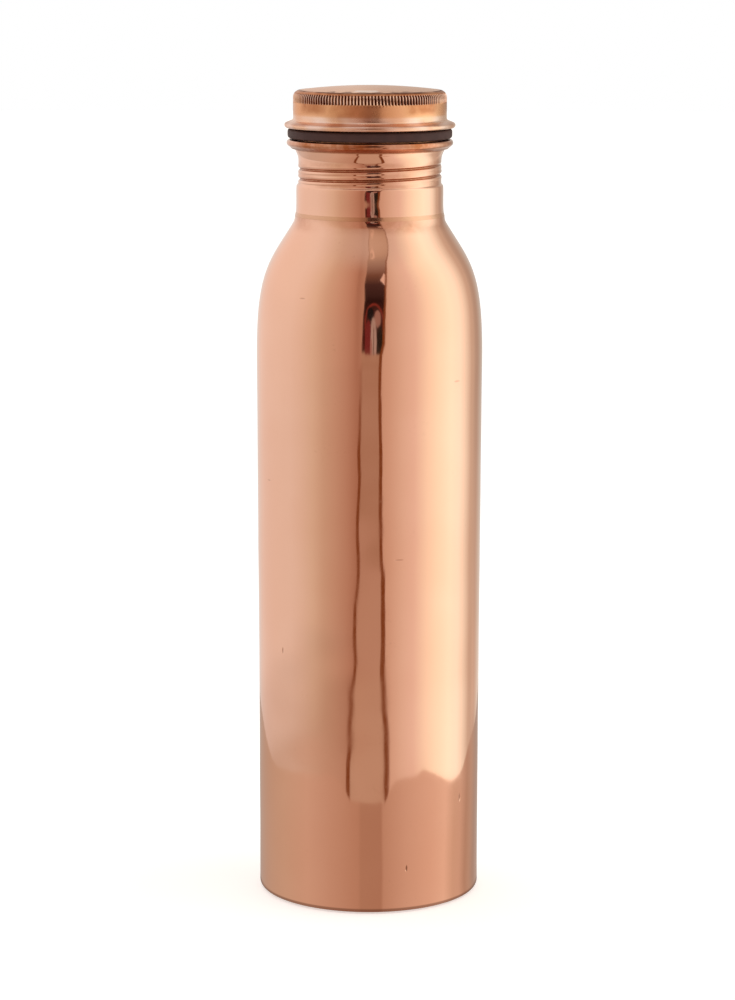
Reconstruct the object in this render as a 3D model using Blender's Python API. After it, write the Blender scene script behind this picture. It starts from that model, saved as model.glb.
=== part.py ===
"""A spun copper water bottle with a screw lid, made as the separate pieces it is brazed and
screwed together from.

Units are metres and +Z is up. The origin is the centre of the foot, on the surface that the
bottle stands on, and every piece is turned about the Z axis. The lid unscrews about that
axis, and rises by THREAD_LEAD with each turn.
"""

import math

import bmesh
import bpy
from mathutils import Vector

SEGMENTS = 48  # facets round each turned piece
SHOULDER_STEPS = 9  # facets along the shoulder's curve
ROLL_STEPS = 6  # facets along the rolled rim
ROUND_STEPS = 4  # facets along the larger rounded corners
BEND_STEPS = 3  # facets along the small bends
EDGE_STEPS = 2  # facets along the mouth's rounded edge
GAP = 0.0003  # left between pieces that touch

# Body: a spun tube whose shoulder closes in to the neck, and whose foot is turned inwards.
BODY_RADIUS = 0.0375
FOOT_WALL_RADIUS = 0.0370
STRAIGHT_TOP_Z = 0.060
SHOULDER_Z = 0.1823
BODY_SHEET = 0.0007
FOOT_CORNER_RADIUS = 0.0018
FOOT_LIP_RADIUS = 0.0328
NECK_ROOT_RADIUS = 0.0247
BODY_TOP_Z = 0.2277
SHOULDER_FILLET_RADIUS = 0.0046
SHOULDER_END_ANGLE = math.radians(31.3)  # from the vertical, where the fillet begins
SHOULDER_ROUNDNESS = 0.0278  # how far the wall's own direction carries into the shoulder
SHOULDER_FLATNESS = 0.0142  # how far the fillet's direction carries back into it

# Base plate: a pressed disc with an upright rim, brazed in above the foot's lip.
BASE_PANEL_RADIUS = 0.0270
BASE_PANEL_RISE = 0.0015
BASE_CROWN = 0.0004
BASE_SLOPE_WIDTH = 0.0022
BASE_CORNER_RADIUS = 0.0014
BASE_RIM_TOP_Z = 0.0070

# Neck: a threaded collar with a rolled rim, brazed on top of the body.
NECK_SHEET = 0.0006
SPIGOT_BOTTOM_Z = 0.2230
NECK_BOTTOM_Z = 0.2291
NECK_BOTTOM_RADIUS = 0.0244
NECK_BAND_TOP_Z = 0.2381
NECK_BAND_TOP_RADIUS = 0.0242
NECK_THREAD_RADIUS = 0.02355
NECK_THREAD_BOTTOM_Z = 0.2386
NECK_THREAD_TOP_Z = 0.2458
NECK_FLARE_Z = 0.2490
NECK_FLARE_RADIUS = 0.0244
RIM_RADIUS = 0.0274
RIM_TOP_Z = 0.2529
RIM_ROLL_RADIUS = 0.00125
RIM_ROLL_START = -60
RIM_HEM_RADIUS = 0.0256
RIM_HEM_Z = 0.2499
MOUTH_ROUND = 0.0005

# Thread: one start, right-handed, a narrow groove rolled inwards in both walls.
THREAD_LEAD = 0.0033
THREAD_LEVEL_Z = 0.23820  # height of the groove's middle at angle 0, on turn 0
THREAD_HALF_WIDTH = 0.0006
THREAD_DEPTH = 0.00065
THREAD_FADE = 0.12  # of a turn, where the groove runs out
NECK_THREAD_TURNS = (0.0, 2.05)
STEM_THREAD_TURNS = (-2.0, 2.20)
THREAD_CLEARANCE = 0.0003
THREAD_ROWS = range(-3, 5)  # the turns of groove that may cross either wall
THREAD_MARGIN = 0.0001  # kept between the groove's vertices and the ends of the wall

# Gasket
GASKET_INNER_RADIUS = 0.0230
GASKET_RADIUS = 0.0271
GASKET_EDGE = 0.0005
GASKET_THICKNESS = 0.0031
GASKET_BOTTOM_Z = RIM_TOP_Z + GAP

# Lid: a cap whose rim is folded over the flange of the threaded stem.
CAP_SHEET = 0.0006
FOLD_SHEET = 0.0005
FOLD_BOTTOM_Z = GASKET_BOTTOM_Z + GASKET_THICKNESS + GAP
FOLD_INNER_RADIUS = 0.0259
FOLD_RADIUS = 0.02812
FOLD_NOSE_RADIUS = 0.0009
FOLD_NOSE_ARC = (-50, 75)
FOLD_SLOT_SIDE = 0.0012
CAP_FLARE_RADIUS = 0.0010
CAP_FLARE_ARC = (262, 180)
CAP_BAND_RADIUS = 0.02525
CAP_BAND_BOTTOM_Z = 0.2599
KNURL_BOTTOM_Z = 0.2651
KNURL_TOP_Z = 0.2680
KNURL_RADIUS = 0.0254
KNURL_TOP_RADIUS = 0.0249
KNURL_DEPTH = 0.00035
KNURL_TEETH = 144
KNURL_EDGE = 0.0003
CAP_TOP_Z = 0.2703
CAP_CORNER_RADIUS = 0.0024
CAP_CORNER_START = 45
CAP_CROWN = 0.0014

STEM_SHEET = 0.0006
STEM_RADIUS = NECK_THREAD_RADIUS - NECK_SHEET - THREAD_CLEARANCE
STEM_BOTTOM_Z = 0.2360
STEM_THREAD_TOP_Z = 0.2464
STEM_FLANGE_RADIUS = 0.0268
STEM_FLANGE_BOTTOM_Z = FOLD_BOTTOM_Z + FOLD_SHEET + GAP
STEM_FLANGE_THICKNESS = 0.0005
STEM_FLARE_RADIUS = 0.0008
STEM_FLARE_END = 165
STEM_BORE_RADIUS = STEM_RADIUS - THREAD_DEPTH - STEM_SHEET
DISC_RECESS = 0.0010
DISC_THICKNESS = 0.0007

# Braze: a bead round the seam under the neck, and fillets at the base and under the disc.
SEAM_BEAD_HEIGHT = 0.0008
SEAM_BEAD_WIDTH = 0.00080
BASE_FILLET = 0.0010
STEM_FILLET = 0.0007
FILLET_HOLLOW = 0.4  # where the fillet's face passes between the two walls, from 0 to 0.5

COPPER = (0.83, 0.42, 0.30)
LID_COPPER = (0.80, 0.41, 0.24)
BRAZE = (0.66, 0.42, 0.25)
RUBBER = (0.075, 0.045, 0.038)


# ---------------------------------------------------------------- outlines

def arc(centre, radius, first_angle, last_angle, steps):
    """(radius, height) points of an arc. Angle 0 points away from the axis, 90 degrees up."""
    points = []
    for step in range(steps + 1):
        angle = math.radians(first_angle + (last_angle - first_angle) * step / steps)
        points.append((centre[0] + radius * math.cos(angle), centre[1] + radius * math.sin(angle)))
    return points


def bezier(start, start_handle, end_handle, end, steps):
    """(radius, height) points of one cubic curve."""
    points = []
    for step in range(steps + 1):
        t = step / steps
        weights = ((1 - t) ** 3, 3 * (1 - t) ** 2 * t, 3 * (1 - t) * t ** 2, t ** 3)
        corners = (start, start_handle, end_handle, end)
        points.append(tuple(sum(w * c[i] for w, c in zip(weights, corners)) for i in (0, 1)))
    return points


def shoulder_outline():
    """From the top of the wall, over the shoulder and up the fillet to the neck."""
    fillet_centre = (NECK_ROOT_RADIUS + SHOULDER_FILLET_RADIUS, BODY_TOP_Z)
    end_angle = math.degrees(SHOULDER_END_ANGLE)
    fillet = arc(fillet_centre, SHOULDER_FILLET_RADIUS, 180 + end_angle, 180, BEND_STEPS)
    start = (BODY_RADIUS, SHOULDER_Z)
    end = fillet[0]
    start_handle = (BODY_RADIUS, SHOULDER_Z + SHOULDER_ROUNDNESS)
    end_handle = (
        end[0] + SHOULDER_FLATNESS * math.sin(SHOULDER_END_ANGLE),
        end[1] - SHOULDER_FLATNESS * math.cos(SHOULDER_END_ANGLE),
    )
    return bezier(start, start_handle, end_handle, end, SHOULDER_STEPS) + fillet[1:]


def crowned(radius, edge_z, crown):
    """(radius, height) points half way out and at the edge of a slightly domed face."""
    half = 0.5
    return [(radius * half, edge_z + crown * (1 - half ** 2)), (radius, edge_z)]


# ---------------------------------------------------------------- turned surfaces

def ring(bm, radius, z, count=SEGMENTS):
    """A circle of vertices. radius is a number, or a function of the vertex's part of a turn."""
    verts = []
    for step in range(count):
        turn = step / count
        r = radius(turn) if callable(radius) else radius
        angle = 2 * math.pi * turn
        verts.append(bm.verts.new((r * math.cos(angle), r * math.sin(angle), z)))
    return verts


def bridge(bm, low, high):
    """Faces between two rings. One of them may be a single vertex, or a finer ring."""
    if len(low) > len(high):
        low, high = high, low
    count = len(high)
    if len(low) == 1:
        for step in range(count):
            bm.faces.new((low[0], high[step], high[(step + 1) % count]))
        return
    finer = count // len(low)
    for step, left in enumerate(low):
        right = low[(step + 1) % len(low)]
        fan = [high[(step * finer + extra) % count] for extra in range(finer + 1)]
        middle = finer // 2
        for extra in range(middle):
            bm.faces.new((left, fan[extra + 1], fan[extra]))
        bm.faces.new((left, right, fan[middle + 1], fan[middle]))
        for extra in range(middle + 1, finer):
            bm.faces.new((right, fan[extra + 1], fan[extra]))


def turned_rings(bm, outline):
    """One ring for each (radius, height) point, or one vertex where the outline is on the axis."""
    rings = []
    for radius, z in outline:
        on_axis = not callable(radius) and radius == 0
        rings.append([bm.verts.new((0, 0, z))] if on_axis else ring(bm, radius, z))
    return rings


def bridge_all(bm, rings):
    for low, high in zip(rings, rings[1:]):
        bridge(bm, low, high)


def turned_solid(outline):
    """A closed outline that goes all the way round, or that starts and ends on the axis."""
    bm = bmesh.new()
    rings = turned_rings(bm, outline)
    bridge_all(bm, rings)
    if len(rings[0]) > 1:
        bridge(bm, rings[-1], rings[0])
    return bm


# ---------------------------------------------------------------- thread

def groove_depth(z, turn, turns):
    """How far the rolled groove lies inside the wall, at a height and a part of a turn."""
    level = (z - THREAD_LEVEL_Z) / THREAD_LEAD
    along = round(level - turn) + turn
    off_middle = abs(level - along) * THREAD_LEAD / THREAD_HALF_WIDTH
    run_in = (along - turns[0]) / THREAD_FADE
    run_out = (turns[1] - along) / THREAD_FADE
    fade = max(0.0, min(1.0, run_in, run_out))
    return THREAD_DEPTH * fade * max(0.0, 1 - off_middle)


def threaded_column(bm, turn, low_z, high_z, radius, turns):
    """The groove's edges and middle on one upright line of the wall, as (key, vertex) pairs."""
    angle = 2 * math.pi * turn
    column = []
    for whole_turn in THREAD_ROWS:
        for side in (-1, 0, 1):
            z = THREAD_LEVEL_Z + THREAD_LEAD * (whole_turn + turn) + side * THREAD_HALF_WIDTH
            if not low_z + THREAD_MARGIN < z < high_z - THREAD_MARGIN:
                continue
            r = radius - groove_depth(z, turn, turns)
            vert = bm.verts.new((r * math.cos(angle), r * math.sin(angle), z))
            column.append(((whole_turn, side), vert))
    return column


def zip_columns(bm, left, right):
    """Faces between two upright lines of vertices. Rows with the same key make a quad."""
    left_keys = [key for key, vert in left]
    i = k = 0
    while i + 1 < len(left) or k + 1 < len(right):
        next_left = left[i + 1] if i + 1 < len(left) else None
        next_right = right[k + 1] if k + 1 < len(right) else None
        if next_left and next_right and next_left[0] == next_right[0]:
            bm.faces.new((left[i][1], right[k][1], next_right[1], next_left[1]))
            i += 1
            k += 1
        elif next_right and next_right[0] not in left_keys:
            bm.faces.new((left[i][1], right[k][1], next_right[1]))
            k += 1
        else:
            bm.faces.new((left[i][1], right[k][1], next_left[1]))
            i += 1


def threaded_wall(bm, low_ring, high_ring, radius, turns):
    """Fills the space between two rings with a wall that the thread's groove is rolled into."""
    low_z = low_ring[0].co.z
    high_z = high_ring[0].co.z
    columns = []
    for step in range(SEGMENTS):
        middle = threaded_column(bm, step / SEGMENTS, low_z, high_z, radius, turns)
        columns.append([("low", low_ring[step])] + middle + [("high", high_ring[step])])
    first = columns[0]
    last = [first[0]] + [((key[0] - 1, key[1]), vert) for key, vert in first[1:-1]] + [first[-1]]
    for left, right in zip(columns, columns[1:] + [last]):
        zip_columns(bm, left, right)


# ---------------------------------------------------------------- objects

def material(name, colour, roughness, metallic):
    made = bpy.data.materials.new(name)
    made.use_nodes = True
    shader = made.node_tree.nodes["Principled BSDF"]
    shader.inputs["Base Color"].default_value = (*colour, 1)
    shader.inputs["Roughness"].default_value = roughness
    shader.inputs["Metallic"].default_value = metallic
    made.diffuse_color = (*colour, 1)
    return made


def attach(obj, parent, z):
    """Stands the object on the Z axis at height z, as a child of the parent if it has one."""
    obj.location = (0, 0, z)
    obj.parent = parent
    while parent:
        obj.location.z -= parent.location.z
        parent = parent.parent


def place(name, bm, finish, base_z, parent=None):
    """Makes the object, with its origin on the Z axis at base_z."""
    bmesh.ops.recalc_face_normals(bm, faces=bm.faces)
    bmesh.ops.translate(bm, verts=bm.verts, vec=Vector((0, 0, -base_z)))
    mesh = bpy.data.meshes.new(name)
    bm.to_mesh(mesh)
    bm.free()
    mesh.materials.append(finish)
    mesh.shade_smooth()
    mesh.set_sharp_from_angle(angle=math.radians(32))
    obj = bpy.data.objects.new(name, mesh)
    bpy.context.scene.collection.objects.link(obj)
    attach(obj, parent, base_z)
    return obj


def thicken(obj, thickness):
    """Turns an open turned surface into sheet metal, inwards from its outer face."""
    sheet = obj.modifiers.new("sheet", "SOLIDIFY")
    sheet.thickness = thickness
    sheet.offset = -1
    sheet.use_even_offset = True


def axis_empty(name, z, parent=None):
    empty = bpy.data.objects.new(name, None)
    empty.empty_display_size = 0.02
    bpy.context.scene.collection.objects.link(empty)
    attach(empty, parent, z)
    return empty


# ---------------------------------------------------------------- bottle

def body_shell(finish):
    corner_centre = (FOOT_WALL_RADIUS - FOOT_CORNER_RADIUS, FOOT_CORNER_RADIUS)
    outline = [(FOOT_LIP_RADIUS, 0)]
    outline += arc(corner_centre, FOOT_CORNER_RADIUS, -90, 0, ROUND_STEPS)
    outline.append((FOOT_WALL_RADIUS, STRAIGHT_TOP_Z))
    outline += shoulder_outline()
    bm = bmesh.new()
    bridge_all(bm, turned_rings(bm, outline))
    thicken(place("body_shell", bm, finish, 0), BODY_SHEET)


def base_plate(finish):
    bottom_z = BODY_SHEET + GAP
    rim_radius = FOOT_WALL_RADIUS - BODY_SHEET - GAP
    corner_centre = (rim_radius - BASE_CORNER_RADIUS, bottom_z + BASE_CORNER_RADIUS)
    panel_z = bottom_z + BASE_PANEL_RISE
    outline = [(0, panel_z + BASE_CROWN)] + crowned(BASE_PANEL_RADIUS, panel_z, BASE_CROWN)
    outline.append((BASE_PANEL_RADIUS + BASE_SLOPE_WIDTH, bottom_z))
    outline += arc(corner_centre, BASE_CORNER_RADIUS, -90, 0, BEND_STEPS)
    outline.append((rim_radius, BASE_RIM_TOP_Z))
    bm = bmesh.new()
    bridge_all(bm, turned_rings(bm, outline))
    thicken(place("base_plate", bm, finish, bottom_z), BODY_SHEET)


def fillet_outline(wall, flat_z, reach):
    """Braze run into the corner between a wall and a flat face. reach is negative downwards."""
    hollow = (wall - abs(reach) * FILLET_HOLLOW, flat_z + reach * FILLET_HOLLOW)
    return [(wall, flat_z), (wall, flat_z + reach), hollow, (wall - abs(reach), flat_z)]


def base_braze_ring(finish):
    """A fillet above the base plate's rim, against the wall."""
    bottom_z = BASE_RIM_TOP_Z + GAP
    outline = fillet_outline(FOOT_WALL_RADIUS - BODY_SHEET - GAP, bottom_z, BASE_FILLET)
    place("base_braze_ring", turned_solid(outline), finish, bottom_z)


def rim_outline():
    """The rolled rim: up its underside, round the roll, and in over the flat top."""
    roll_centre = (RIM_RADIUS - RIM_ROLL_RADIUS, RIM_TOP_Z - RIM_ROLL_RADIUS)
    points = [(NECK_FLARE_RADIUS, NECK_FLARE_Z), (RIM_HEM_RADIUS, RIM_HEM_Z)]
    return points + arc(roll_centre, RIM_ROLL_RADIUS, RIM_ROLL_START, 90, ROLL_STEPS)


def neck_collar(finish):
    spigot_radius = NECK_ROOT_RADIUS - BODY_SHEET - GAP
    bore = NECK_THREAD_RADIUS - NECK_SHEET
    mouth = NECK_FLARE_RADIUS - NECK_SHEET
    outside = [
        (spigot_radius, SPIGOT_BOTTOM_Z),
        (spigot_radius, NECK_BOTTOM_Z),
        (NECK_BOTTOM_RADIUS, NECK_BOTTOM_Z),
        (NECK_BAND_TOP_RADIUS, NECK_BAND_TOP_Z),
        (NECK_THREAD_RADIUS, NECK_THREAD_BOTTOM_Z),
    ]
    rim = [(NECK_THREAD_RADIUS, NECK_THREAD_TOP_Z)] + rim_outline()
    mouth_centre = (mouth + MOUTH_ROUND, RIM_TOP_Z - MOUTH_ROUND)
    rim += arc(mouth_centre, MOUTH_ROUND, 90, 180, EDGE_STEPS)
    rim += [(mouth, NECK_FLARE_Z), (bore, NECK_THREAD_TOP_Z)]
    inside = [
        (bore, NECK_THREAD_BOTTOM_Z),
        (NECK_BAND_TOP_RADIUS - NECK_SHEET, NECK_BAND_TOP_Z - NECK_SHEET),
        (NECK_BOTTOM_RADIUS - NECK_SHEET, NECK_BOTTOM_Z + 2 * NECK_SHEET),
        (spigot_radius - NECK_SHEET, NECK_BOTTOM_Z + NECK_SHEET),
        (spigot_radius - NECK_SHEET, SPIGOT_BOTTOM_Z),
    ]
    bm = bmesh.new()
    outside_rings = turned_rings(bm, outside)
    rim_rings = turned_rings(bm, rim)
    inside_rings = turned_rings(bm, inside)
    for rings in (outside_rings, rim_rings, inside_rings):
        bridge_all(bm, rings)
    bridge(bm, inside_rings[-1], outside_rings[0])
    threaded_wall(bm, outside_rings[-1], rim_rings[0], NECK_THREAD_RADIUS, NECK_THREAD_TURNS)
    threaded_wall(bm, inside_rings[0], rim_rings[-1], bore, NECK_THREAD_TURNS)
    place("neck_collar", bm, finish, SPIGOT_BOTTOM_Z)


def neck_braze_ring(finish):
    """The bead of braze that shows as a line where the neck meets the body."""
    inner = NECK_ROOT_RADIUS - BODY_SHEET
    bottom_z = BODY_TOP_Z + GAP
    rounding = SEAM_BEAD_HEIGHT / 2
    middle = (inner + SEAM_BEAD_WIDTH - rounding, bottom_z + rounding)
    outline = [(inner, bottom_z)] + arc(middle, rounding, -90, 90, BEND_STEPS)
    outline.append((inner, bottom_z + SEAM_BEAD_HEIGHT))
    place("neck_braze_ring", turned_solid(outline), finish, bottom_z)


# ---------------------------------------------------------------- lid

def gasket(finish, parent):
    low = GASKET_BOTTOM_Z + GASKET_EDGE
    high = GASKET_BOTTOM_Z + GASKET_THICKNESS - GASKET_EDGE
    outline = arc((GASKET_RADIUS - GASKET_EDGE, low), GASKET_EDGE, -90, 0, BEND_STEPS)
    outline += arc((GASKET_RADIUS - GASKET_EDGE, high), GASKET_EDGE, 0, 90, BEND_STEPS)
    outline.append((GASKET_INNER_RADIUS, GASKET_BOTTOM_Z + GASKET_THICKNESS))
    outline.append((GASKET_INNER_RADIUS, GASKET_BOTTOM_Z))
    place("gasket", turned_solid(outline), finish, GASKET_BOTTOM_Z, parent)


def fold_outline():
    """The cap's lower rim, from the edge folded in underneath to the foot of the band."""
    nose_centre = (FOLD_RADIUS - FOLD_NOSE_RADIUS, FOLD_BOTTOM_Z + FOLD_NOSE_RADIUS)
    points = [(FOLD_INNER_RADIUS, FOLD_BOTTOM_Z), (nose_centre[0], FOLD_BOTTOM_Z)]
    points += arc(nose_centre, FOLD_NOSE_RADIUS, *FOLD_NOSE_ARC, ROUND_STEPS)
    flare_centre = (CAP_BAND_RADIUS + CAP_FLARE_RADIUS, CAP_BAND_BOTTOM_Z)
    return points + arc(flare_centre, CAP_FLARE_RADIUS, *CAP_FLARE_ARC, BEND_STEPS)


def cap_rings(bm):
    """The outside of the cap, from the folded edge up to the crown, with the knurled band."""
    outside = turned_rings(bm, fold_outline())
    outside.append(ring(bm, CAP_BAND_RADIUS, KNURL_BOTTOM_Z - KNURL_EDGE))

    def teeth(radius):
        return lambda turn: radius - KNURL_DEPTH * (round(turn * KNURL_TEETH * 2) % 2)

    outside.append(ring(bm, teeth(KNURL_RADIUS), KNURL_BOTTOM_Z, KNURL_TEETH * 2))
    outside.append(ring(bm, teeth(KNURL_TOP_RADIUS), KNURL_TOP_Z, KNURL_TEETH * 2))
    edge_z = CAP_TOP_Z - CAP_CROWN
    edge_radius = CAP_BAND_RADIUS - CAP_CORNER_RADIUS
    corner_centre = (edge_radius, edge_z - CAP_CORNER_RADIUS)
    corner = arc(corner_centre, CAP_CORNER_RADIUS, CAP_CORNER_START, 90, BEND_STEPS)
    outside += turned_rings(bm, corner + crowned(edge_radius, edge_z, CAP_CROWN)[:1])
    outside.append([bm.verts.new((0, 0, CAP_TOP_Z))])
    return outside


def cap_lining():
    """The cap's inner face, from the crown down to the slot that holds the stem's flange."""
    wall = CAP_BAND_RADIUS - CAP_SHEET
    edge_z = CAP_TOP_Z - CAP_CROWN - CAP_SHEET
    corner_radius = CAP_CORNER_RADIUS - CAP_SHEET
    corner_centre = (wall - corner_radius, edge_z - corner_radius)
    slot_top_z = STEM_FLANGE_BOTTOM_Z + STEM_FLANGE_THICKNESS + GAP
    slot_end = STEM_FLANGE_RADIUS + 2 * GAP
    points = [(0, edge_z + CAP_CROWN)] + crowned(corner_centre[0], edge_z, CAP_CROWN)[:1]
    points += arc(corner_centre, corner_radius, 90, 0, BEND_STEPS)
    points += [(wall, CAP_BAND_BOTTOM_Z), (wall + GAP, CAP_BAND_BOTTOM_Z - FOLD_SLOT_SIDE)]
    points += [(slot_end - FOLD_SLOT_SIDE, slot_top_z + GAP), (slot_end, slot_top_z)]
    points.append((slot_end, FOLD_BOTTOM_Z + FOLD_SHEET))
    points.append((FOLD_INNER_RADIUS, FOLD_BOTTOM_Z + FOLD_SHEET))
    return points


def cap_shell(finish, parent):
    bm = bmesh.new()
    outside = cap_rings(bm)
    lining = turned_rings(bm, cap_lining())
    bridge_all(bm, outside)
    bridge_all(bm, lining)
    bridge(bm, lining[-1], outside[0])
    place("cap_shell", bm, finish, FOLD_BOTTOM_Z, parent)


def threaded_stem(finish, parent):
    """A tube whose groove runs open at its lower end, flared into a flange under the cap."""
    bore = STEM_RADIUS - STEM_SHEET
    flange_top_z = STEM_FLANGE_BOTTOM_Z + STEM_FLANGE_THICKNESS

    def wall_at_bottom(radius):
        return lambda turn: radius - groove_depth(STEM_BOTTOM_Z, turn, STEM_THREAD_TURNS)

    flare_centre = (STEM_RADIUS + STEM_FLARE_RADIUS, STEM_FLANGE_BOTTOM_Z - STEM_FLARE_RADIUS)
    outline = [(STEM_RADIUS, STEM_THREAD_TOP_Z)]
    outline += arc(flare_centre, STEM_FLARE_RADIUS, 180, 90, BEND_STEPS)
    outline += [(STEM_FLANGE_RADIUS, STEM_FLANGE_BOTTOM_Z), (STEM_FLANGE_RADIUS, flange_top_z)]
    flare_outside = STEM_FLARE_RADIUS + STEM_FLANGE_THICKNESS
    outline += arc(flare_centre, flare_outside, 90, STEM_FLARE_END, BEND_STEPS)
    outline.append((bore, STEM_FLANGE_BOTTOM_Z - 2 * STEM_FLARE_RADIUS))
    outline.append((bore, STEM_THREAD_TOP_Z))
    bm = bmesh.new()
    outer_bottom = ring(bm, wall_at_bottom(STEM_RADIUS), STEM_BOTTOM_Z)
    inner_bottom = ring(bm, wall_at_bottom(bore), STEM_BOTTOM_Z)
    upper = turned_rings(bm, outline)
    bridge_all(bm, upper)
    bridge(bm, inner_bottom, outer_bottom)
    threaded_wall(bm, outer_bottom, upper[0], STEM_RADIUS, STEM_THREAD_TURNS)
    threaded_wall(bm, inner_bottom, upper[-1], bore, STEM_THREAD_TURNS)
    place("threaded_stem", bm, finish, STEM_BOTTOM_Z, parent)


def stem_end_disc(finish, parent):
    """Closes the lower end of the stem, set a little way up inside it."""
    low = STEM_BOTTOM_Z + DISC_RECESS
    high = low + DISC_THICKNESS
    radius = STEM_BORE_RADIUS - GAP
    outline = [(0, low), (radius - GAP, low), (radius, low + GAP), (radius, high), (0, high)]
    place("stem_end_disc", turned_solid(outline), finish, low, parent)


def stem_braze_ring(finish, parent):
    """A fillet under the edge of the disc, against the stem's bore."""
    top_z = STEM_BOTTOM_Z + DISC_RECESS - GAP
    outline = fillet_outline(STEM_BORE_RADIUS - GAP, top_z, -STEM_FILLET)
    place("stem_braze_ring", turned_solid(outline), finish, STEM_BOTTOM_Z, parent)


def clear_scene():
    for obj in list(bpy.data.objects):
        bpy.data.objects.remove(obj)


def main():
    clear_scene()
    copper = material("body_copper", COPPER, 0.12, 1.0)
    lid_copper = material("lid_copper", LID_COPPER, 0.2, 1.0)
    braze = material("braze", BRAZE, 0.4, 1.0)
    rubber = material("gasket_rubber", RUBBER, 0.6, 0.0)
    body_shell(copper)
    base_plate(copper)
    base_braze_ring(braze)
    neck_collar(copper)
    neck_braze_ring(braze)
    lift_axis = axis_empty("lift_axis", GASKET_BOTTOM_Z)
    turn_axis = axis_empty("turn_axis", GASKET_BOTTOM_Z + GASKET_THICKNESS, lift_axis)
    gasket(rubber, lift_axis)
    cap_shell(lid_copper, turn_axis)
    threaded_stem(lid_copper, turn_axis)
    stem_end_disc(lid_copper, turn_axis)
    stem_braze_ring(braze, turn_axis)


main()
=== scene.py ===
"""Looks of the copper water bottle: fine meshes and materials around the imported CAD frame.

Units are metres and +Z is up, as in the CAD. Every piece is an outline turned about the Z axis.
It stands for the CAD node of the same piece and rides on that node's body.
"""
import math

import bpy
import numpy as np
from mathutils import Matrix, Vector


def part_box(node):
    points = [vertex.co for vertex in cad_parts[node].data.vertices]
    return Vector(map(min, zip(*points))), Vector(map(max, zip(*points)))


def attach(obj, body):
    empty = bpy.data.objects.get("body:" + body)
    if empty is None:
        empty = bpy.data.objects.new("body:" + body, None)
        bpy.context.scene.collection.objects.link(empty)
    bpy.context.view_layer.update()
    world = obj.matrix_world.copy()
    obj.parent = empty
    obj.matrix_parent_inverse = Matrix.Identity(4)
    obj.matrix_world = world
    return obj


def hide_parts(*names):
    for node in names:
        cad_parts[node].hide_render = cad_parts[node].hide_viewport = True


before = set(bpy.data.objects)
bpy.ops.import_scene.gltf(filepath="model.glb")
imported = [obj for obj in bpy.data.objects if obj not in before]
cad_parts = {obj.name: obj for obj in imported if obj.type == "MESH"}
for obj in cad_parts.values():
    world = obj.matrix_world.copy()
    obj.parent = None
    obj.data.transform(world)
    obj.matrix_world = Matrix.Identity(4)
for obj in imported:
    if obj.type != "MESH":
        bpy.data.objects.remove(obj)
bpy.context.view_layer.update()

# ---------------------------------------------------------------- sizes

BODY_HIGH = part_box("body_shell")[1]
BASE_LOW, BASE_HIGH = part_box("base_plate")
NECK_LOW, NECK_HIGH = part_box("neck_collar")
SEAM_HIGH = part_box("neck_braze_ring")[1]
GASKET_LOW, GASKET_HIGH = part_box("gasket")
CAP_LOW, CAP_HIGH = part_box("cap_shell")
STEM_LOW, STEM_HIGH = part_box("threaded_stem")
DISC_LOW, DISC_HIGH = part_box("stem_end_disc")

GAP = 0.0003  # between pieces that touch on the real bottle
SHEET = 0.0006
BODY_SHEET = 0.0007

# Body, below its top edge or above its foot
FOOT_TAPER = 0.0005
STRAIGHT_TOP = 0.060
WALL_BEND = 0.015  # half the height over which the straight wall starts to lean
SHOULDER_DROP = 0.0454
FOOT_FADE = 0.010  # the unevenness fades out over this height above the foot
FOOT_CORNER = 0.0018
FOOT_LIP = 0.0042
NECK_ROOT_RADIUS = 0.0247
SHOULDER_FILLET = 0.0046
SHOULDER_END_ANGLE = math.radians(31.3)
SHOULDER_ROUNDNESS = 0.0278
SHOULDER_FLATNESS = 0.0142

# Neck
SEAM_BULGE = 0.00004
NECK_BAND_LOW_Z = SEAM_HIGH.z + GAP
NECK_BAND_RADIUS = 0.0244
NECK_BAND_TAPER = 0.0002
NECK_BAND_HEIGHT = 0.0090
NECK_THREAD_RADIUS = 0.02355
NECK_THREAD_DROP = (0.0143, 0.0071)  # the threaded stretch, below the rim
NECK_FLARE_DROP = 0.0039
NECK_FLARE_RADIUS = 0.0244
RIM_ROLL = 0.00115
RIM_HEM_RADIUS = 0.0256
RIM_HEM_DROP = 0.0030
HEM_CORNER = 0.0003
MOUTH_CORNER = 0.0005

# Thread, as in the CAD
THREAD_LEAD = 0.0033
THREAD_LEVEL_Z = 0.23820
THREAD_HALF_WIDTH = 0.0007
THREAD_DEPTH = 0.00055
THREAD_RIDGE = 0.16  # of the depth, how far the metal beside the groove stands proud
THREAD_FADE = 0.12
NECK_THREAD_TURNS = (0.0, 2.05)
STEM_THREAD_TURNS = (-2.0, 2.20)

# Lid
FOLD_INNER_RADIUS = 0.0259
FOLD_SHEET = 0.0005
CAP_BAND_RADIUS = 0.02525
CAP_BAND_RISE = 0.0033  # from the fold's lower edge to the foot of the band
CAP_FLARE = 0.0010
FOLD_NOSE = 0.0009
KNURL_LOW_Z = CAP_LOW.z + 0.0082
KNURL_HIGH_Z = CAP_LOW.z + 0.0116
KNURL_DEPTH = 0.00045
KNURL_TEETH = 144
KNURL_LEAN = 250
CREST_HIGHLIGHT_SHARE = 0.22  # how much of a tooth gets a painted highlight
CAP_CORNER = 0.0024
CAP_CROWN = 0.0014
LID_STAIN_AZIMUTHS = (-24, -4)
# Painted shade of a dent along the front of the lid's top edge: its azimuths, reach and strength
DENT_SHADE_AZIMUTHS = (-32, 44)
DENT_SHADE_REACH = 0.0040
DENT_SHADE = 0.42
# Where a painted highlight patch lies on the lid's top, standing in for a dent
TOP_HIGHLIGHT_AZIMUTHS = (-12, 5)
TOP_HIGHLIGHT_RADII = (0.0180, 0.0210)
DARK_SIDE_AZIMUTHS = (76, 104)
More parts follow.
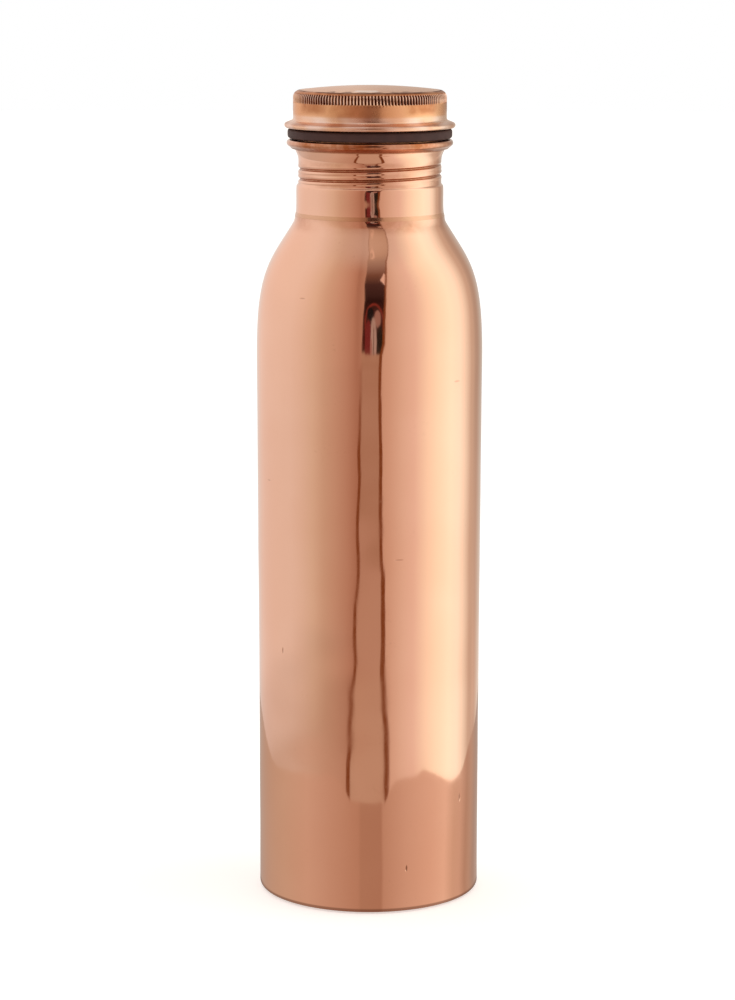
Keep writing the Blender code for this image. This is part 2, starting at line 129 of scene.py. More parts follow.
# Dents in the lid's top edge: azimuth in degrees from the front, depth, half width in degrees
EDGE_DENTS = [(-62, 0.00012, 5), (-37, 0.00010, 4), (-10, 0.00022, 5), (6, 0.00026, 6), (27, 0.00012, 5),
              (58, 0.00015, 5), (130, 0.00015, 5), (200, 0.00012, 6)]
GASKET_INNER_RADIUS = 0.0230
GASKET_EDGES = (0.0010, 0.0009)  # rounding below and above
STEM_RADIUS = NECK_THREAD_RADIUS - SHEET - GAP
STEM_FLANGE_SHEET = 0.0005
STEM_FLARE = 0.0008

# Base plate, and the disc that closes the stem
BASE_CORNER = 0.0014
BASE_PANEL_RADIUS = 0.0270
BASE_PANEL_RISE = 0.0015
BASE_SLOPE = 0.0022
BASE_CROWN = 0.0004
DISC_CROWN = 0.00015
DISC_EDGE = 0.0003

# Unevenness of the surfaces, as amplitudes
WALL_WAVES = 0.000026
WALL_RIPPLE = 0.000007
WALL_HOLLOW = 0.000045  # keeps the uneven wall inside its true radius
NECK_WAVES = 0.000012
CAP_WAVES = 0.00002
GASKET_WAVES = 0.00004
BRAZE_LUMPS = 0.00004
SEAM_LUMPS = 0.000012

# Camera
CAMERA_PLACE = (-0.0009, -1.0594, 0.3176)
CAMERA_PITCH = math.radians(9.915)
CAMERA_ROLL = math.radians(-0.10)
CAMERA_LENS = 115.56  # focal length in millimetres

SEGMENTS = 288


# ---------------------------------------------------------------- outlines

def arc(centre, radius, first, last, pitch=7.5):
    """(radius, height) points of an arc, in degrees. Angle 0 points away from the axis."""
    steps = max(2, math.ceil(abs(last - first) / pitch))
    angles = [math.radians(first + (last - first) * step / steps) for step in range(steps + 1)]
    return [(centre[0] + radius * math.cos(a), centre[1] + radius * math.sin(a)) for a in angles]


def bezier(corners, steps):
    """(radius, height) points of one cubic curve."""
    corners = np.array(corners)
    t = np.linspace(0, 1, steps + 1)[:, None]
    weights = np.hstack([(1 - t) ** 3, 3 * (1 - t) ** 2 * t, 3 * (1 - t) * t ** 2, t ** 3])
    return [tuple(point) for point in weights @ corners]


def dense(points, pitch):
    """The same outline with its long straight stretches divided."""
    result = [points[0]]
    for start, end in zip(points, points[1:]):
        steps = max(1, math.ceil(math.dist(start, end) / pitch))
        for step in range(1, steps + 1):
            share = step / steps
            result.append(tuple(a + (b - a) * share for a, b in zip(start, end)))
    return result


def inset(points, distance):
    """The outline moved sideways, to the left of its direction of travel."""
    path = np.array(points)
    along = np.gradient(path, axis=0)
    along /= np.linalg.norm(along, axis=1)[:, None]
    side = np.stack([-along[:, 1], along[:, 0]], axis=1)
    return [tuple(point) for point in path + side * distance]


def sheet_loop(outer, thickness):
    """A closed outline of sheet metal whose outer face is given, from its lower to its upper end."""
    return outer + inset(outer, thickness)[::-1]


# ---------------------------------------------------------------- turned meshes

def angles_of(count):
    return np.arange(count) * 2 * math.pi / count


def azimuth_of(angle):
    """Degrees from the front, positive to the camera's right."""
    return np.remainder(np.degrees(angle) + 270, 360) - 180


def turned(name, outline, count=SEGMENTS, relief=None, closed=True, **marks):
    """Turns an outline about the Z axis. relief(radius, z, angle) moves its points in or out.
    Each mark is a function of the same kind, stored on the points from 0 to 1 for the material:
    the grime and shade mark is dirt in the hollows and, on the lid, painted shade along the front of its
    top edge;
    the stain mark is a film of tarnish; the wear and highlight mark is metal rubbed bare and, on the lid,
    painted highlights on the knurling's crests and its top.
    An outline that isn't closed starts and ends on the axis."""
    path = np.array(outline)
    poles = [] if closed else [path[0, 1], path[-1, 1]]
    body = path if closed else path[1:-1]
    angle = angles_of(count)[None, :]
    flat = np.zeros((len(body), count))
    radius, z = body[:, :1] + flat, body[:, 1:] + flat
    moved = radius + relief(radius, z, angle) if relief else radius
    points = np.stack([moved * np.cos(angle), moved * np.sin(angle), z], axis=-1).reshape(-1, 3)
    values = {key: np.clip(value(radius, z, angle) + flat, 0, 1).ravel() for key, value in marks.items()}
    rows = len(body)
    index = np.arange(rows * count).reshape(rows, count)
    upper = np.vstack([index[1:], index[:1]]) if closed else index[1:]
    lower = index if closed else index[:-1]
    right_lower, right_upper = np.roll(lower, -1, axis=1), np.roll(upper, -1, axis=1)
    faces = np.stack([lower, right_lower, right_upper, upper], axis=-1).reshape(-1, 4).tolist()
    for pole, row in zip(poles, (index[0], index[-1][::-1])):
        points = np.vstack([points, [0, 0, pole]])
        values = {key: np.append(value, value[row[0]]) for key, value in values.items()}
        faces += [[len(points) - 1, b, a] for a, b in zip(row, np.roll(row, -1))]
    return add_mesh(name, points, faces, values)


def add_mesh(name, points, faces, marks=None):
    mesh = bpy.data.meshes.new(name)
    mesh.from_pydata(np.asarray(points).tolist(), [], faces)
    for key, values in (marks or {}).items():
        mesh.attributes.new(key, "FLOAT", "POINT").data.foreach_set("value", values.astype(np.float32))
    mesh.shade_smooth()
    mesh.set_sharp_from_angle(angle=math.radians(38))
    mesh.validate()
    piece = bpy.data.objects.new(name, mesh)
    bpy.context.scene.collection.objects.link(piece)
    return piece


def finish_piece(piece, body, node, material):
    piece.data.materials.append(material)
    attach(piece, body)
    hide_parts(node)
    return piece


# ---------------------------------------------------------------- surface shapes

def waves(angle, z, seed, length, count=9):
    """Smooth unevenness round a turned wall, about -1 to 1. length is its size up the wall."""
    dice = np.random.default_rng(seed)
    total = 0
    for _ in range(count):
        around = dice.integers(2, 9)
        up = dice.normal() * 2 * math.pi / length
        total = total + np.cos(around * angle + up * z + dice.uniform(0, 2 * math.pi))
    return total / math.sqrt(count)


def body_relief(radius, z, angle):
    """The wall of a drawn tube isn't quite round or straight."""
    high = np.clip((BODY_HIGH.z - z) / SHOULDER_DROP, 0, 1)
    low = np.clip(z / FOOT_FADE, 0, 1)
    slow = waves(angle, z, seed=3, length=0.070) * WALL_WAVES
    quick = waves(angle, z, seed=8, length=0.020) * WALL_RIPPLE
    return (slow + quick - WALL_HOLLOW) * high * low


def patches(angle, z, seed, length):
    """Soft-edged patches round a turned wall, 0 to 1."""
    return np.clip(0.5 + 0.7 * waves(angle, z, seed, length), 0, 1)


def between(value, low, high, soft):
    """1 from low to high, fading to 0 over soft on each side."""
    share = np.clip(np.minimum(value - low, high - value) / soft + 1, 0, 1)
    return share * share * (3 - 2 * share)


def groove(z, angle, turns):
    """The rolled thread's depth, from 0 to 1."""
    turn = angle / (2 * math.pi)
    level = (z - THREAD_LEVEL_Z) / THREAD_LEAD
    along = np.round(level - turn) + turn
    off_middle = np.abs(level - along) * THREAD_LEAD / THREAD_HALF_WIDTH
    fade = np.clip(np.minimum((along - turns[0]), (turns[1] - along)) / THREAD_FADE, 0, 1)
    hollow = 0.5 + 0.5 * np.cos(math.pi * np.clip(off_middle, 0, 1))
    ridge = 0.5 + 0.5 * np.cos(math.pi * np.clip((off_middle - 1.5) / 0.75, -1, 1))
    return fade * (hollow - THREAD_RIDGE * ridge)


def thread_relief(turns, low, high):
    """relief and grime functions of a threaded wall between two heights."""
    def depth(z, angle):
        inside = np.clip(np.minimum(z - low, high - z) / 0.0004, 0, 1)
        return groove(z, angle, turns) * inside

    def relief(radius, z, angle):
        return -THREAD_DEPTH * depth(z, angle)

    def grime(radius, z, angle):
        return depth(z, angle)

    return relief, grime


def knurl_share(z):
    """From 0 to 1, how deep the knurling is at a height."""
    rise = np.clip((z - KNURL_LOW_Z) / 0.0004, 0, 1) * np.clip((KNURL_HIGH_Z - z) / 0.0004, 0, 1)
    return rise * rise * (3 - 2 * rise)


def knurl_tooth(z, angle):
    """0 on a crest of the knurling, 1 at the bottom of a valley."""
    return 0.5 + 0.5 * np.cos(KNURL_TEETH * angle + KNURL_LEAN * (z - CAP_LOW.z))


def knurl_valley(z, angle):
    return knurl_tooth(z, angle) ** 1.15 * knurl_share(z)


def on_band(radius):
    """1 on the cap's outer wall, 0 on its lining and its top."""
    return np.clip((radius - (CAP_BAND_RADIUS - SHEET / 2)) / (SHEET / 4), 0, 1)


def on_knurl(radius):
    """As on_band, but it also covers the corner that the knurling runs on to."""
    return np.clip((radius - (CAP_BAND_RADIUS - 0.0008)) / (SHEET / 4), 0, 1)


def on_edge(radius, z):
    """1 where the lid's top turns over into its corner."""
    return (radius > CAP_BAND_RADIUS - CAP_CORNER - SHEET) * (z > CAP_HIGH.z - CAP_CROWN - 0.0012)


def edge_dents(radius, z, angle):
    """Small dents knocked into the lid's top edge."""
    total = 0
    for azimuth, depth, half_width in EDGE_DENTS:
        off = azimuth_of(angle - math.radians(azimuth))
        total = total + depth * np.exp(-(off / half_width) ** 2)
    return total * on_edge(radius, z)


def cap_relief(radius, z, angle):
    knurl = knurl_valley(z, angle) * on_knurl(radius) * (radius < CAP_BAND_RADIUS + SHEET)
    uneven = waves(angle, z, seed=5, length=0.010) * CAP_WAVES
    return uneven - KNURL_DEPTH * knurl - edge_dents(radius, z, angle)


def cap_grime(radius, z, angle):
    """Dirt in the knurling's valleys and along the top edge, and painted shade of a dent along the front of
    the top edge.
    """
    valleys = knurl_valley(z, angle) * on_knurl(radius)
    valleys = valleys * (0.8 + 0.4 * patches(angle, z, seed=61, length=0.050))
    edge = between(radius, CAP_BAND_RADIUS - 0.0023, CAP_BAND_RADIUS - 0.0016, 0.0003) * on_edge(radius, z)
    edge = edge * (0.28 + 0.25 * patches(2 * angle, z, seed=62, length=0.050))
    # Painted shade of a dent, along the front of the top edge
    reach = DENT_SHADE_REACH * (0.5 + 0.7 * patches(4 * angle, z, seed=72, length=0.050))
    front = between(radius, CAP_BAND_RADIUS - reach, CAP_BAND_RADIUS - 0.0012, 0.0004)
    front = front * (z > CAP_HIGH.z - CAP_CROWN - CAP_CORNER / 2)
    front = front * between(azimuth_of(angle), *DENT_SHADE_AZIMUTHS, 14)
    return np.maximum(valleys, np.maximum(edge, DENT_SHADE * front))


def cap_worn(radius, z, angle):
    """Painted highlights along the crests of the knurling and in a patch on the top that stands for a dent,
    and bare metal on the flange.
    """
    # Painted highlight along the knurling's crests
    crest = np.clip(CREST_HIGHLIGHT_SHARE - knurl_tooth(z, angle), 0, 1) / CREST_HIGHLIGHT_SHARE
    crest = crest * knurl_share(z) * on_knurl(radius)
    flange = between(z, CAP_LOW.z - 0.001, CAP_LOW.z + CAP_BAND_RISE + 0.0006, 0.0010)
    flange = flange * (0.30 + 0.45 * patches(2 * angle, z, seed=69, length=0.012))
    # A painted highlight patch on the top, standing in for a dent that catches the light
    top = between(radius, *TOP_HIGHLIGHT_RADII, 0.0010) * (z > CAP_HIGH.z - CAP_CROWN)
    top = top * between(azimuth_of(angle), *TOP_HIGHLIGHT_AZIMUTHS, 5)
    return np.maximum(np.maximum(crest, flange), top)


def stain_above_knurl(radius, z, angle):
    """Tarnish round the lid's corner, and down the knurling on the right."""
    corner = between(z, KNURL_HIGH_Z - 0.0004, CAP_HIGH.z - CAP_CROWN - 0.0002, 0.0004)
    corner = corner * (0.8 + 0.2 * patches(angle, z, seed=63, length=0.030))
    corner = corner * (radius > CAP_BAND_RADIUS - CAP_CORNER)
    right = between(azimuth_of(angle), *DARK_SIDE_AZIMUTHS, 10) * (z > KNURL_LOW_Z) * on_knurl(radius)
    return np.maximum(corner, right)


def stain_below_knurl(radius, z, angle):
    """Tarnish on the plain band, under the knurling and down its front left side."""
    under = between(z, KNURL_LOW_Z - 0.0016, KNURL_HIGH_Z, 0.0022)
    under = 0.8 * under * patches(angle, z, seed=64, length=0.040)
    side = between(azimuth_of(angle), *LID_STAIN_AZIMUTHS, 14)
    side = side * between(z, CAP_LOW.z + 0.0022, KNURL_HIGH_Z, 0.0010)
    side = side * (0.35 + 0.25 * patches(3 * angle, z, seed=68, length=0.006))
    return np.maximum(under, side) * on_band(radius)


def stain_on_flange(z, angle):
    """Tarnish in patches on the folded flange, and all along the crease above it."""
    crease = CAP_LOW.z + 2 * FOLD_NOSE
    flange = between(z, CAP_LOW.z - 0.001, CAP_LOW.z + CAP_BAND_RISE - 0.0004, 0.0008)
    flange = flange * 0.40 * patches(2 * angle, z, seed=67, length=0.010)
    return np.maximum(flange, 0.9 * between(z, crease - 0.0003, crease + 0.0001, 0.0005))


def cap_stain(radius, z, angle):
    band = np.maximum(stain_above_knurl(radius, z, angle), stain_below_knurl(radius, z, angle))
    return np.maximum(band, stain_on_flange(z, angle))


# ---------------------------------------------------------------- pieces

def shoulder(steps):
    """From the top of the wall, over the shoulder and up the fillet to the neck."""
    centre = (NECK_ROOT_RADIUS + SHOULDER_FILLET, BODY_HIGH.z)
    fillet = arc(centre, SHOULDER_FILLET, 180 + math.degrees(SHOULDER_END_ANGLE), 180, 4)
    shoulder_z = BODY_HIGH.z - SHOULDER_DROP
    end = fillet[0]
    end_handle = (
        end[0] + SHOULDER_FLATNESS * math.sin(SHOULDER_END_ANGLE),
        end[1] - SHOULDER_FLATNESS * math.cos(SHOULDER_END_ANGLE),
    )
    start = (BODY_HIGH.x, shoulder_z)
    start_handle = (BODY_HIGH.x, shoulder_z + SHOULDER_ROUNDNESS)
    return bezier([start, start_handle, end_handle, end], steps) + fillet[1:]


def make_body(material):
    foot_radius = BODY_HIGH.x - FOOT_TAPER
    corner = (foot_radius - FOOT_CORNER, FOOT_CORNER)
    outer = [(foot_radius - FOOT_LIP, 0)] + arc(corner, FOOT_CORNER, -90, 0)
    wall_top = (BODY_HIGH.x, BODY_HIGH.z - SHOULDER_DROP)
    lean = FOOT_TAPER / (wall_top[1] - STRAIGHT_TOP)
    bend_low = (foot_radius, STRAIGHT_TOP - WALL_BEND)
    bend_high = (foot_radius + lean * WALL_BEND, STRAIGHT_TOP + WALL_BEND)
    bend = bezier([bend_low, (foot_radius, STRAIGHT_TOP - WALL_BEND / 3),
                   (foot_radius + lean * WALL_BEND / 3, STRAIGHT_TOP + WALL_BEND / 3), bend_high], 15)
    outer = dense(outer + [bend_low], 0.0020) + bend[1:]
    outer += dense([bend_high, wall_top], 0.0020)[1:]
    outer += shoulder(44)[1:]

    def stain(radius, z, angle):
        near_seam = between(z, BODY_HIGH.z - 0.0022, BODY_HIGH.z, 0.0026)
        return 0.45 * near_seam * patches(angle, z, seed=71, length=0.012)

    piece = turned("body", sheet_loop(outer, BODY_SHEET), relief=body_relief, stain=stain)
    return finish_piece(piece, "bottle", "body_shell", material)


def make_base(material):
    bottom = BASE_LOW.z
    rim = BASE_HIGH.x
    corner = (rim - BASE_CORNER, bottom + BASE_CORNER)
    panel_z = bottom + BASE_PANEL_RISE
    slope_end = BASE_PANEL_RADIUS + BASE_SLOPE
    step = bezier([(BASE_PANEL_RADIUS, panel_z), (BASE_PANEL_RADIUS + BASE_SLOPE / 2, panel_z),
                   (slope_end - BASE_SLOPE / 2, bottom), (slope_end, bottom)], 10)
    shares = np.linspace(0.03, 1, 16)
    crown = [(BASE_PANEL_RADIUS * share, panel_z + BASE_CROWN * (1 - share ** 2)) for share in shares]
    outer = crown[:-1] + step + arc(corner, BASE_CORNER, -90, 0) + [(rim, BASE_HIGH.z)]
    outer = dense(outer, 0.0015)
    inner = inset(outer, BODY_SHEET)[::-1]
    outline = [(0, outer[0][1])] + outer + inner + [(0, inner[-1][1])]
    piece = turned("base", outline, closed=False)
    return finish_piece(piece, "bottle", "base_plate", material)


def make_fillet_ring(name, node, body, material, upwards):
    """Braze run into the corner between a wall and a flat face."""
    low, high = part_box(node)
    wall = high.x
    flat_z, tip_z = (low.z, high.z) if upwards else (high.z, low.z)
    reach = abs(tip_z - flat_z)
    edge = wall - reach
    hollow = bezier([(wall, tip_z), (wall, tip_z + (flat_z - tip_z) * 0.6),
                     (edge + reach * 0.4, flat_z), (edge, flat_z)], 8)
    outline = dense([(wall, flat_z), (wall, tip_z)], 0.0003)[:-1] + hollow
    outline = outline if upwards else outline[::-1]

    def lumps(radius, z, angle):
        return waves(angle, z, seed=21, length=0.01) * BRAZE_LUMPS * (radius < wall - 0.0001)

    piece = turned(name, outline, relief=lumps)
    return finish_piece(piece, body, node, material)


def make_seam_ring(material):
    """Braze dressed nearly flush, between the body's top edge and the neck."""
    low_z, high_z = BODY_HIGH.z - 0.0001, NECK_BAND_LOW_Z + 0.0002
    inner = NECK_ROOT_RADIUS - BODY_SHEET
    face = bezier([(NECK_ROOT_RADIUS - 0.00006, low_z), (NECK_ROOT_RADIUS + SEAM_BULGE, low_z + 0.0003),
                   (NECK_BAND_RADIUS + SEAM_BULGE, high_z - 0.0006),
                   (NECK_BAND_RADIUS - 0.00008, high_z)], 10)

    def lumps(radius, z, angle):
        return waves(angle, z, seed=12, length=0.01) * SEAM_LUMPS * (radius > inner + 0.0002)

    piece = turned("neck_seam", [(inner, low_z)] + face + [(inner, high_z)], relief=lumps)
    return finish_piece(piece, "bottle", "neck_braze_ring", material)


def make_neck(material):
    top = NECK_HIGH.z
    thread_low, thread_high = (top - drop for drop in NECK_THREAD_DROP)
    spigot = NECK_ROOT_RADIUS - BODY_SHEET - GAP
    band_top = NECK_BAND_RADIUS - NECK_BAND_TAPER
    band_top_z = NECK_BAND_LOW_Z + NECK_BAND_HEIGHT
    flare_z = top - NECK_FLARE_DROP
    hem_z = top - RIM_HEM_DROP
    bore = NECK_THREAD_RADIUS - SHEET
    mouth = NECK_FLARE_RADIUS - SHEET
    roll = (NECK_HIGH.x - RIM_ROLL, top - RIM_ROLL)
    hem = (RIM_HEM_RADIUS, hem_z + 0.0002)
    hem_side = RIM_HEM_RADIUS - HEM_CORNER
    shoulder_z = band_top_z - 0.0007
    outer = [(spigot, NECK_LOW.z), (spigot, NECK_BAND_LOW_Z - 0.0004)]
    outer += [(spigot + 0.0004, NECK_BAND_LOW_Z)]
    outer += bezier([(NECK_BAND_RADIUS, NECK_BAND_LOW_Z),
                     (NECK_BAND_RADIUS - 0.00025, NECK_BAND_LOW_Z + 0.0026),
                     (band_top + 0.00018, band_top_z - 0.0032), (band_top, shoulder_z)], 18)
    outer += bezier([(band_top, shoulder_z), (band_top - 0.00005, band_top_z - 0.0001),
                     (NECK_THREAD_RADIUS + 0.0001, band_top_z), (NECK_THREAD_RADIUS, thread_low)], 12)[1:]
    outer = dense(outer, 0.0008)
    threads = dense([(NECK_THREAD_RADIUS, thread_low), (NECK_THREAD_RADIUS, thread_high)], 0.00010)
    rim = bezier([(NECK_THREAD_RADIUS, thread_high), (NECK_THREAD_RADIUS, thread_high + 0.0016),
                  (NECK_FLARE_RADIUS - 0.0003, flare_z - 0.0006), (NECK_FLARE_RADIUS, flare_z)], 12)
    rim += bezier([(NECK_FLARE_RADIUS, flare_z), (NECK_FLARE_RADIUS + 0.0002, flare_z + 0.0006),
                   (hem_side, hem_z + 0.0008), (hem_side, hem[1])], 6)[1:]
    rim += arc(hem, HEM_CORNER, 180, 300, 30)[1:]
    rim += arc(roll, RIM_ROLL, -62, 90)
    rim += arc((mouth + MOUTH_CORNER, top - MOUTH_CORNER), MOUTH_CORNER, 90, 180)
    rim += bezier([(mouth, flare_z), (mouth, flare_z - 0.0010), (bore, thread_high + 0.0010),
                   (bore, thread_high)], 8)
    inner_threads = [(bore, z) for radius, z in threads[::-1]]
    inner = [(bore, thread_low), (band_top - SHEET, band_top_z - SHEET)]
    inner += [(NECK_BAND_RADIUS - SHEET, NECK_BAND_LOW_Z + 2 * SHEET)]
    inner += [(spigot - SHEET, NECK_BAND_LOW_Z + SHEET), (spigot - SHEET, NECK_LOW.z)]
    outline = outer[:-1] + threads + rim[1:-1] + inner_threads + dense(inner, 0.001)[1:]
    relief, grime = thread_relief(NECK_THREAD_TURNS, thread_low, thread_high)

    def uneven(radius, z, angle):
        above_band = np.clip((z - NECK_BAND_LOW_Z) / 0.001, 0, 1)
        return relief(radius, z, angle) + waves(angle, z, seed=31, length=0.009) * NECK_WAVES * above_band

    def grime_and_shade_share(radius, z, angle):
        under_rim = between(z, hem_z - 0.0002, hem_z + 0.0002, 0.0003)
        return np.maximum(grime(radius, z, angle), under_rim * (radius > mouth))

    def stain(radius, z, angle):
        on_rim = between(z, hem_z, top, 0.0002) * (radius > mouth + SHEET)
        on_rim = on_rim * (0.55 + 0.5 * patches(angle, z, seed=74, length=0.040))
        on_threads = between(z, thread_low, thread_high, 0.001)
        on_threads = 0.35 * on_threads * patches(angle, z, seed=77, length=0.006)
        return np.maximum(on_rim, on_threads)

    piece = turned("neck", outline, relief=uneven, grime=grime_and_shade_share, stain=stain)
    return finish_piece(piece, "bottle", "neck_collar", material)


def squeeze(radius, z, angle):
    """The gasket bulges a little where it is pressed harder."""
    return waves(angle, z, seed=41, length=0.02) * GASKET_WAVES


def make_gasket(material):
    low, high = GASKET_LOW.z, GASKET_HIGH.z
    inner, outer = GASKET_INNER_RADIUS, GASKET_HIGH.x
    lower_edge, upper_edge = GASKET_EDGES
    outline = [(inner, low)] + arc((outer - lower_edge, low + lower_edge), lower_edge, -90, 0)
    outline += arc((outer - upper_edge, high - upper_edge), upper_edge, 0, 90) + [(inner, high)]
    piece = turned("gasket_ring", dense(outline, 0.0006), relief=squeeze)
    return finish_piece(piece, "seal", "gasket", material)


def cap_outside():
    """From the folded edge under the rim, up the knurled band, to the crown on the axis."""
    bottom, top = CAP_LOW.z, CAP_HIGH.z
    nose = (CAP_HIGH.x - FOLD_NOSE, bottom + FOLD_NOSE)
    band_z = bottom + CAP_BAND_RISE
    flare = (CAP_BAND_RADIUS + CAP_FLARE, band_z)
    corner = (CAP_BAND_RADIUS - CAP_CORNER, top - CAP_CROWN - CAP_CORNER)
    points = [(FOLD_INNER_RADIUS, bottom)] + arc(nose, FOLD_NOSE, -90, 75)
    points += arc(flare, CAP_FLARE, 262, 180)
    points = dense(points, 0.0006)
    points += dense([(CAP_BAND_RADIUS, band_z), (CAP_BAND_RADIUS, KNURL_LOW_Z)], 0.0008)[1:]
    points += dense([(CAP_BAND_RADIUS, KNURL_LOW_Z), (CAP_BAND_RADIUS, corner[1])], 0.00015)[1:]
    knurl_end = math.degrees(math.asin((KNURL_HIGH_Z - corner[1]) / CAP_CORNER))
    points += arc(corner, CAP_CORNER, 0, knurl_end, 3.5)[1:]
    points += arc(corner, CAP_CORNER, knurl_end, 90, 5)[1:]
    edge = corner[0]
    shares = [0.992, 0.984, *np.linspace(0.97, 0.04, 22)]
    points += [(edge * share, top - CAP_CROWN * share ** 2) for share in shares]
    return points


def make_cap(material):
    bottom, top = CAP_LOW.z, CAP_HIGH.z
    wall = CAP_BAND_RADIUS - SHEET
    crown = top - CAP_CROWN - SHEET
    lining_corner = CAP_CORNER - SHEET
    slot_z = STEM_HIGH.z + GAP
    slot_end = STEM_HIGH.x + 0.0006
    inside = [(FOLD_INNER_RADIUS, bottom + FOLD_SHEET), (slot_end, bottom + FOLD_SHEET)]
    inside += [(slot_end, slot_z), (slot_end - 0.0012, slot_z + 0.0003)]
    inside += [(wall + 0.0003, bottom + CAP_BAND_RISE - 0.0012), (wall, bottom + CAP_BAND_RISE)]
    inside += arc((wall - lining_corner, crown - lining_corner), lining_corner, 0, 90)
    edge = wall - lining_corner
    inside = dense(inside, 0.003)
    shares = np.linspace(0.9, 0.04, 12)
    inside += [(edge * share, crown + CAP_CROWN * (1 - share ** 2)) for share in shares]
    outside = cap_outside()
    outline = [(0, top - SHEET)] + inside[::-1] + outside + [(0, top)]
    piece = turned("cap", outline, count=KNURL_TEETH * 6, relief=cap_relief, closed=False,
                   grime=cap_grime, stain=cap_stain, worn=cap_worn)
    return finish_piece(piece, "lid", "cap_shell", material)


def make_stem(material):
    bottom, top = STEM_LOW.z, STEM_HIGH.z
    bore = STEM_RADIUS - SHEET
    flange_z = top - STEM_FLANGE_SHEET
    thread_high = bottom + 0.0104
    flare = (STEM_RADIUS + STEM_FLARE, flange_z - STEM_FLARE)
    outer = dense([(STEM_RADIUS, bottom), (STEM_RADIUS, thread_high)], 0.00010)
    outer += dense([(STEM_RADIUS, thread_high), (STEM_RADIUS, flare[1])], 0.0010)[1:]
    outer += arc(flare, STEM_FLARE, 180, 90)[1:]
    outer += [(STEM_HIGH.x, flange_z), (STEM_HIGH.x, top)]
    outer += arc(flare, STEM_FLARE + STEM_FLANGE_SHEET, 90, 165)
    inner = dense([(bore, flare[1] - STEM_FLARE), (bore, thread_high)], 0.0010)
    inner += [(bore, z) for z in np.linspace(thread_high, bottom, 105)[1:]]
    relief, grime = thread_relief(STEM_THREAD_TURNS, bottom - 1, thread_high)

    def only_wall(radius, z, angle):
        return relief(radius, z, angle) * (radius <= STEM_RADIUS + 1e-6)

    piece = turned("stem", outer + inner, relief=only_wall, grime=grime)
    return finish_piece(piece, "lid", "threaded_stem", material)


def make_disc(material):
    low, high = DISC_LOW.z, DISC_HIGH.z
    radius = DISC_HIGH.x
    corner = (radius - DISC_EDGE, low + DISC_EDGE)
    under = [(radius * share, low + DISC_CROWN * (1 - share ** 2)) for share in np.linspace(0.04, 0.98, 14)]
    outline = [(0, low + DISC_CROWN)] + under + arc(corner, DISC_EDGE, -90, 0, 30)
    outline += [(radius, high), (radius * 0.5, high), (radius * 0.04, high), (0, high)]
    piece = turned("stem_disc", outline, closed=False)
    return finish_piece(piece, "lid", "stem_end_disc", material)


# ---------------------------------------------------------------- shader graphs

class Graph:
    """Short ways to add nodes to one shader tree."""

    def __init__(self, tree):
        self.tree = tree
        tree.nodes.clear()

    def node(self, kind, inputs=None, **settings):
        made = self.tree.nodes.new("ShaderNode" + kind)
        for key, value in settings.items():
            setattr(made, key, value)
        for key, value in (inputs or {}).items():
            self.feed(made.inputs[key], value)
        return made

    def feed(self, socket, value):
        if isinstance(value, bpy.types.NodeSocket):
            self.tree.links.new(value, socket)
        elif isinstance(value, tuple) and len(value) == 3 and socket.type == "RGBA":
            socket.default_value = (*value, 1)
        else:
            socket.default_value = value

    def math(self, operation, *values):
        return self.node("Math", dict(enumerate(values)), operation=operation).outputs[0]

    def fade(self, value, start, end):
        """0 at start, 1 at end, with a smooth step between them."""
        inputs = {"Value": value, "From Min": start, "From Max": end}
        return self.node("MapRange", inputs, interpolation_type="SMOOTHSTEP").outputs[0]

    def mix(self, share, first, second, blend="MIX"):
        """Mixes two colours."""
        made = self.node("Mix", data_type="RGBA", blend_type=blend, clamp_factor=True)
        for socket, value in zip((made.inputs[0], made.inputs[6], made.inputs[7]), (share, first, second)):
            self.feed(socket, value)
        return made.outputs[2]

    def ramp(self, value, stops):
        """stops are (position, colour) or (position, number) pairs."""
        made = self.node("ValToRGB", {0: value})
        bar = made.color_ramp
        while len(bar.elements) < len(stops):
            bar.elements.new(0.5)
        for element, (position, colour) in zip(bar.elements, stops):
            element.position = position
            colour = colour if isinstance(colour, tuple) else (colour,) * 3
            element.color = (*colour, 1)
        return made.outputs[0]

    def noise(self, place, scale, detail=2.0, roughness=0.5):
        inputs = {"Vector": place, "Scale": scale, "Detail": detail, "Roughness": roughness}
        return self.node("TexNoise", inputs).outputs[0]

    def stretched(self, place, scale):
        return self.node("Mapping", {"Vector": place, "Scale": scale}).outputs[0]


def span_ramp(g, value, low, high, stops):
    """A ramp whose stops are given in the value's own units, between low and high."""
    share = g.node("MapRange", {"Value": value, "From Min": low, "From Max": high}).outputs[0]
    stops = [((place - low) / (high - low), colour) for place, colour in stops]
    return g.ramp(share, stops)


# ---------------------------------------------------------------- materials

COPPER_PALE, COPPER_DEEP = (0.865, 0.505, 0.365), (0.845, 0.480, 0.340)
LID_PALE, LID_DEEP = (0.80, 0.41, 0.22), (0.74, 0.34, 0.16)
BRAZE_PALE, BRAZE_DEEP = (0.78, 0.44, 0.30), (0.66, 0.36, 0.22)
TARNISH = (0.44, 0.19, 0.105)
# Tarnish in the lid's hollows, also the colour of the painted shade along its top's front edge
LID_TARNISH_AND_SHADE = (0.085, 0.014, 0.005)
LID_TINT = (0.97, 0.95, 0.92)
STAIN = (0.42, 0.14, 0.055)
BARE_METAL_AND_HIGHLIGHT = (0.95, 0.74, 0.66)
NICK_COLOUR = (0.25, 0.10, 0.05)
RUBBER_PALE, RUBBER_DEEP = (0.062, 0.028, 0.025), (0.052, 0.025, 0.023)
RUBBER_DUST = (0.12, 0.075, 0.065)
